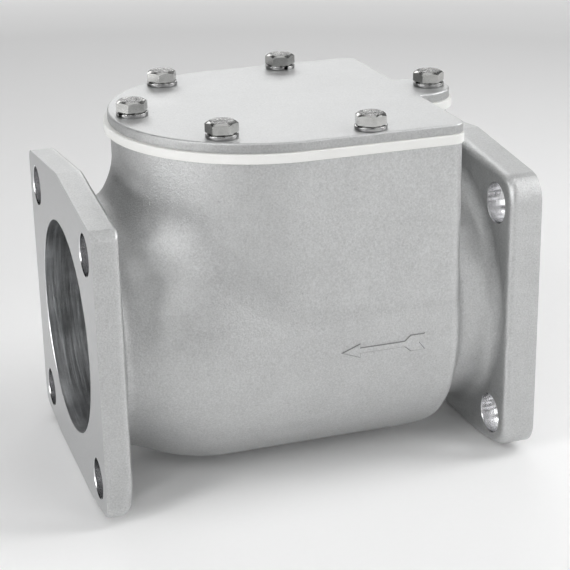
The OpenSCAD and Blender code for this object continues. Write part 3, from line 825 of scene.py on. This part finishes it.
def machining_holes():
    """Flange bolt holes with broken edges, and the plain holes for the cover and bracket screws."""
    chamfer, past, half = 0.4, 1, BOLT_SQUARE / 2
    solids = []
    for low, high in ((0, OUTLET_T), (INLET_BACK_X, FACE_TO_FACE)):
        profile = [
            (low - past, BOLT_R + chamfer + past), (low + chamfer, BOLT_R),
            (high - chamfer, BOLT_R), (high + past, BOLT_R + chamfer + past),
        ]
        solids += [turned(profile, (0, y, z), (1, 0, 0), 64) for y in (-half, half) for z in (-half, half)]
    for centre, size in cover_screws:
        tip = centre[2] - size[2] / 2 - past
        tapped_r = M8_SCREW["r"] + TAPPED_SPARE
        solids.append(cylinder(tip, TOP_Z + past, tapped_r, (centre[0], centre[1], 0), sides=32))
    for centre, size in bracket_screws:
        tip = centre[0] + size[0] / 2 + past
        tapped_r = M6_SCREW["r"] + TAPPED_SPARE
        solids.append(cylinder(SEAT_WALL_X - past, tip, tapped_r, (0, *centre[1:]), (1, 0, 0), 32))
    return joined("waste_holes", solids)


def moved_in(outline, distance):
    """Moves the sides of a closed outline inwards, where it runs clockwise."""
    moved = []
    for i, corner in enumerate(outline):
        before, corner, after = (Vector(outline[k % len(outline)]) for k in (i - 1, i, i + 1))
        one, two = (corner - before).normalized(), (after - corner).normalized()
        inwards = Vector((one.y + two.y, -one.x - two.x)) / (1 + one.dot(two))
        moved.append(corner + inwards * distance)
    return moved


def flow_arrow():
    """The raised arrow on the side wall, which points to the outlet. Its sides have the casting's draft."""
    upper = [
        (ARROW_TIP_X, 0), (ARROW_HEAD_X, ARROW_HEAD_W), (ARROW_HEAD_X, ARROW_SHAFT_W),
        (ARROW_SHAFT_END_X, ARROW_SHAFT_W), (ARROW_FLARE_X, ARROW_TAIL_W),
        (ARROW_TAIL_X, ARROW_TAIL_W), (ARROW_NOTCH_X, 0),
    ]
    outline = upper + [(x, -z) for x, z in upper[-2:0:-1]]
    root, edge_draft, top_draft = 2, 0.35, 0.65
    levels = ((-root, 0), (0, 0), (0.75 * ARROW_HEIGHT, edge_draft), (ARROW_HEIGHT, top_draft))
    rings = []
    for out, draft in levels:
        rings.append([(x, -BARREL_R - out, ARROW_Z + z) for x, z in moved_in(outline, draft)])
    return joined("arrow", [loft(rings)])


def surface_bend(piece, field):
    """Stores how strongly the casting's skin bends: above 0 on outer edges, below 0 in hollows."""
    mesh, reach = piece.data, 1.6
    points = np.empty(len(mesh.vertices) * 3, dtype=np.float32)
    mesh.vertices.foreach_get("co", points)
    points = points.reshape(-1, 3).astype(float) / MM
    total = -6 * field(*points.T)
    for axis in range(3):
        for side in (-reach, reach):
            moved = points.copy()
            moved[:, axis] += side
            total += field(*moved.T)
    layer = mesh.attributes.new("bend", "FLOAT", "POINT")
    layer.data.foreach_set("value", (total / reach).astype(np.float32))


def make_casting():
    """The body: a cast skin from its distance field, then machined, with the flow arrow raised on it."""
    finishes = [CAST_BODY, FACED_BODY, ARROW_SIDE_SHADE, BORED_BODY, DRILLED_BODY]
    step = 1.8
    margin = 8
    low = (-margin, -BARREL_R - margin, -FOOT_Z - margin)
    high = (FACE_TO_FACE + margin, BARREL_R + margin, TOP_Z + margin)
    piece = field_mesh("body_casting", casting, low, high, step)
    for _ in finishes:
        piece.data.materials.append(None)
    boolean(piece, machining_faces(), "DIFFERENCE", FACED)
    boolean(piece, machining_ports(), "DIFFERENCE", BORED)
    boolean(piece, machining_holes(), "DIFFERENCE", DRILLED)
    boolean(piece, flow_arrow(), "UNION", SHADED_ARROW)
    hard_edges(piece)
    surface_bend(piece, casting_outside)
    field_normals(piece, casting)
    for face in piece.data.polygons:
        # Only the arrow's sloping sides keep its own finish, a darker metal that paints shade along the
        # relief's edges.
        if face.material_index == SHADED_ARROW and abs(face.normal.y) > 0.85:
            face.material_index = CAST
    return assemble(piece, "root", "cast_aluminium", ["body"], *finishes)


make_casting()


# ---------------------------------------------------------------- cover, gasket and screws


def cover_ring(z, grow, centre_x, r, right_x, lug_r):
    """A ring round the cover or gasket, moved out by `grow`: a D with a lug at its straight side."""
    corner, hollow = COVER_CORNER_R, LUG_HOLLOW_R
    side_x, side_y = right_x - corner, r - corner
    upper = arc((right_x + hollow, lug_r + hollow), hollow - grow, 270, 180, 5)
    upper += arc((side_x, side_y), corner + grow, 0, 90, 10)
    end = arc((centre_x, 0), r + grow, 90, 270, 96)
    lower = [(x, -y) for x, y in upper[::-1]]
    lug = arc((LUG_X, 0), lug_r + grow, -90, 90, 32)
    return [(x, y, z) for x, y in upper + end + lower + lug]


def chamber_ring(z):
    """A ring round the inside of the chamber."""
    r, corner = TOWER_R - TOWER_WALL, INNER_CORNER_R
    upper = arc((SEAT_WALL_X - corner, r - corner), corner, 0, 90, 8)
    end = arc((CHAMBER_X, 0), r, 90, 270, 96)
    return [(x, y, z) for x, y in upper + end + [(x, -y) for x, y in upper[::-1]]]


def rounded_plate(low, high, low_r, high_r, plan):
    """Solid between two heights over a plan, its lower and upper edges rounded."""
    rings = []
    for a in (math.pi / 2, math.pi / 4, 0):
        rings.append(cover_ring(low + low_r * (1 - math.sin(a)), -low_r * (1 - math.cos(a)), *plan))
    for a in np.linspace(0, math.pi / 2, 6):
        rings.append(cover_ring(high - high_r * (1 - math.sin(a)), -high_r * (1 - math.cos(a)), *plan))
    return loft(rings)


def clearance_holes(low, high, chamfer):
    """Cutters for the cover screws, with a broken edge at the top."""
    past, r = 1, COVER_HOLE_R
    profile = [(low - past, r), (high - chamfer, r), (high + past, r + chamfer + past)]
    return joined("holes", [turned(profile, (c[0], c[1], 0), (0, 0, 1), 64) for c, _ in cover_screws])


def make_cover():
    """The cover plate, with the stop for the flap under it."""
    flats, sides = range(2)
    low, high = gasket_high[2], cover_high[2]
    plan = (CHAMBER_X, COVER_R, COVER_RIGHT_X, LUG_R)
    piece = joined("cover_plate", [rounded_plate(low, high, 0.4, 1.0, plan)])
    in_plate, tip = 0.5, cover_low[2]
    stop = [
        (tip, STOP_R - STOP_CHAMFER), (tip + STOP_CHAMFER, STOP_R),
        (low + in_plate - STOP_FOOT, STOP_R), (low + in_plate, STOP_R + STOP_FOOT),
    ]
    boolean(piece, joined("stop", [turned(stop, (STOP_X, 0, 0), (0, 0, 1), 96)]), "UNION", flats)
    boolean(piece, clearance_holes(low, high, 0.3), "DIFFERENCE", flats)
    hard_edges(piece, 40)
    even_shading(piece)
    # The upright sides take the darker metal, painted shade; the flats take the lighter one.
    for face in piece.data.polygons:
        face.material_index = sides if abs(face.normal.z) < 0.3 else flats
    return assemble(piece, "root", "cast_aluminium", ["cover"], CAST_COVER, CAST_COVER_SIDE_SHADE)


def make_gasket():
    """The gasket sheet, cut out over the chamber but not over the screw bosses in it."""
    plan = (CHAMBER_X - GASKET_SHIFT, COVER_R + GASKET_PROUD, COVER_RIGHT_X, LUG_R + GASKET_PROUD)
    low, high = gasket_low[2], gasket_high[2]
    piece = joined("cover_gasket_sheet", [rounded_plate(low, high, 0.5, 0.5, plan)])
    past = 1
    opening = joined("opening", [loft([chamber_ring(low - past), chamber_ring(high + past)])])
    inside = [c for c, _ in cover_screws if c[0] < SEAT_WALL_X]
    bosses = [cylinder(low - 2 * past, high + 2 * past, BOSS_R, (c[0], c[1], 0)) for c in inside]
    boolean(opening, joined("bosses", bosses), "DIFFERENCE", 0)
    boolean(piece, opening, "DIFFERENCE", 0)
    boolean(piece, clearance_holes(low, high, 0.2), "DIFFERENCE", 0)
    hard_edges(piece, 40)
    even_shading(piece)
    return assemble(piece, "root", "gasket_sheet", ["cover_gasket"], GASKET)


def fit_screws(name, body, node, size, seats, axis, turns):
    """Sets a hex screw at each seat, in place of a CAD node's. Each is left at an angle by the spanner."""
    places = [placed(seat, axis, turn) for seat, turn in zip(seats, turns)]
    screws = copies(name, hex_screw("screw", **size), places)
    even_shading(screws)
    return assemble(screws, body, "zinc_steel", [node], ZINC, ZINC, ZINC_TOP_SHADE)


def fit_washers(name, body, node, size, thickness, seats, axis, turns):
    """Sets a split washer at each seat, in place of a CAD node's."""
    places = [placed(seat, axis, turn) for seat, turn in zip(seats, turns)]
    washers = copies(name, split_washer("washer", thickness=thickness, **size), places)
    hard_edges(washers, 50)
    return assemble(washers, body, "spring_steel", [node], SPRING)


def make_cover_screws():
    """Six M8 screws on split washers."""
    up, seat_z, stand_z = (0, 0, 1), cover_high[2], node_box("lock_washers")[1][2]
    order = sorted(cover_screws, key=lambda island: (round(island[0][0]), -island[0][1]))
    seats = [(c[0], c[1], stand_z) for c, _ in order]
    fit_screws("cover_screws_m8", "root", "cover_screws", M8_SCREW, seats, up, (4, 6, 42, 45, 17, 45))
    seats = [(c[0], c[1], seat_z) for c, _ in order]
    fit_washers("lock_washers_m8", "root", "lock_washers", M8_WASHER, stand_z - seat_z, seats, up,
                (30, 200, 320, 95, 260, 150))


def make_bracket_screws():
    """The hinge bracket's two M6 screws on split washers."""
    outwards = (-1, 0, 0)
    stand_x, seat_x = (corner[0] for corner in node_box("bracket_washers"))
    seats = [(stand_x, *c[1:]) for c, _ in bracket_screws]
    fit_screws("bracket_screws_m6", "root", "bracket_screws", M6_SCREW, seats, outwards, (11, 47))
    seats = [(seat_x, *c[1:]) for c, _ in bracket_screws]
    fit_washers("bracket_washers_m6", "root", "bracket_washers", M6_WASHER, seat_x - stand_x, seats,
                outwards, (60, 250))


def make_retainer_screws():
    """The four M5 screws that hold the seal's retainer to the flap's disc."""
    stand_x = node_box("seal_retainer")[1][0]
    seats = [(stand_x, *c[1:]) for c, _ in node_islands("retainer_screws")]
    fit_screws("retainer_screws_m5", "disc", "retainer_screws", M5_SCREW, seats, (1, 0, 0), (8, 33, 52, 19))


make_cover()
make_gasket()
make_cover_screws()
make_bracket_screws()
make_retainer_screws()


# ---------------------------------------------------------------- the inner parts that keep their CAD shape


def dress(node, finish, width):
    """Keeps a CAD node, rounds its edges and gives it a finish."""
    piece = frame["nodes"][node]
    piece.data.materials.clear()
    piece.data.materials.append(finish)
    weld = piece.modifiers.new("weld", "WELD")
    weld.merge_threshold = 1e-6
    flat = piece.modifiers.new("planar", "DECIMATE")
    flat.decimate_type = "DISSOLVE"
    flat.angle_limit = math.radians(1)
    bevelled(piece, width, 40)
    even_shading(piece)


for node, finish, edge_r in (
    ("seat_ring", SEAT_BRONZE, 0.25),
    ("seat_o_ring", RUBBER, 0.1),
    ("hinge_bracket", STAINLESS, 0.6),
    ("hinge_pin", STAINLESS, 0.3),
    ("pin_clips", SPRING, 0.15),
    ("thrust_washers", PLAIN_BRONZE, 0.15),
    ("clapper_arm", STAINLESS, 0.8),
    ("arm_bush", PLAIN_BRONZE, 0.15),
    ("clapper_disc", TURNED_ALUMINIUM, 0.4),
    ("disc_seal", RUBBER, 0.3),
    ("seal_retainer", TURNED_ALUMINIUM, 0.4),
    ("disc_stud", STAINLESS, 0.4),
    ("stud_washer", STAINLESS, 0.2),
    ("stud_nut", STAINLESS, 0.3),
    ("cotter_pin", ZINC, 0.2),
):
    dress(node, finish, edge_r)


# ---------------------------------------------------------------- stage, light and camera


def make_camera():
    """A long lens in front of the arrow's side, a little towards the outlet end and above."""
    aim, distance, lens = (108.2, -2.8, 6.9), 794, 102.6
    azimuth, elevation, roll = math.radians(18.43), math.radians(20.85), math.radians(-1.05)
    flat = math.cos(elevation)
    ahead = Vector((math.sin(azimuth) * flat, math.cos(azimuth) * flat, -math.sin(elevation)))
    camera = bpy.data.objects.new("camera", bpy.data.cameras.new("camera"))
    camera.data.lens = lens
    camera.data.sensor_width = 36
    turn = ahead.to_track_quat("-Z", "Y").to_matrix() @ Matrix.Rotation(roll, 3, "Z")
    camera.matrix_world = Matrix.Translation((Vector(aim) - ahead * distance) * MM) @ turn.to_4x4()
    bpy.context.collection.objects.link(camera)
    bpy.context.scene.camera = camera


def area_light(name, place, aim, size, power):
    """A rectangular lamp at a place in metres, aimed at another. The power is in watts."""
    light = bpy.data.lights.new(name, "AREA")
    light.shape = "RECTANGLE"
    light.size, light.size_y = size
    light.energy = power
    lamp = bpy.data.objects.new(name, light)
    toward = Vector(aim) - Vector(place)
    lamp.matrix_world = Matrix.Translation(place) @ toward.to_track_quat("-Z", "Y").to_matrix().to_4x4()
    bpy.context.collection.objects.link(lamp)


def make_world():
    """Dark studio with a soft glow from the inlet side, so that bright metal has dark reflections."""
    world = bpy.data.worlds.new("studio")
    world.use_nodes = True
    tree = world.node_tree
    place = tree.nodes.new("ShaderNodeTexCoord").outputs["Generated"]
    split = tree.nodes.new("ShaderNodeSeparateXYZ")
    tree.links.new(place, split.inputs[0])
    glow = tree.nodes.new("ShaderNodeMapRange")
    glow.inputs["To Min"].default_value = 0.05
    tree.links.new(split.outputs["X"], glow.inputs["Value"])
    tree.links.new(glow.outputs["Result"], tree.nodes["Background"].inputs["Color"])
    tree.nodes["Background"].inputs["Strength"].default_value = 0.21
    bpy.context.scene.world = world


def make_stage():
    """A white floor that glows further out, so that it stays pale behind the object from every side."""
    half, thick = 9000, 20
    floor = joined("floor", [block((-half, -half, -FOOT_Z - thick), (half, half, -FOOT_Z))])
    finish = Finish("floor_paint", (0.94, 0.94, 0.94), 0, 0.7)
    grain = finish.noise(3, 3)
    finish.tint(finish.mean([(grain, 0.02)]))
    finish.bump(grain, 0.01)
    away = finish.put("ShaderNodeVectorMath", {0: finish.place}, operation="LENGTH").outputs["Value"]
    glow = finish.spread(away, 1.0, 2.0, 0.02, 0.70)
    finish.shader.inputs["Emission Color"].default_value = (1, 1, 1, 1)
    finish.tree.links.new(glow, finish.shader.inputs["Emission Strength"])
    floor.data.materials.append(finish.material)
    bpy.context.scene.view_settings.view_transform = "Standard"


make_camera()
make_world()
make_stage()
area_light("back_above", (0.25, 0.9, 0.75), (0.1, 0, 0.05), (1.6, 0.7), 0.8)
area_light("far_back", (0.5, 3.0, 1.6), (0.1, 0.8, 0), (3.0, 1.5), 34)
area_light("overhead", (0.1, 0.0, 1.0), (0.1, 0, 0), (0.8, 0.8), 1.9)
area_light("left_strip", (-0.75, -0.45, 0.65), (0.08, 0, 0.05), (0.25, 0.7), 3.3)
area_light("left_low", (-1.2, -0.1, 0.2), (0.1, 0, 0), (0.8, 0.4), 5.2)
area_light("front_right", (0.6, -1.1, 0.45), (0.1, 0, 0), (0.8, 0.6), 3.4)
area_light("front_left", (-0.5, -0.9, 0.9), (0.1, 0, 0), (0.6, 0.4), 2.4)
area_light("right_high", (1.0, -0.2, 0.7), (0.1, 0, 0), (0.5, 0.8), 6.9)
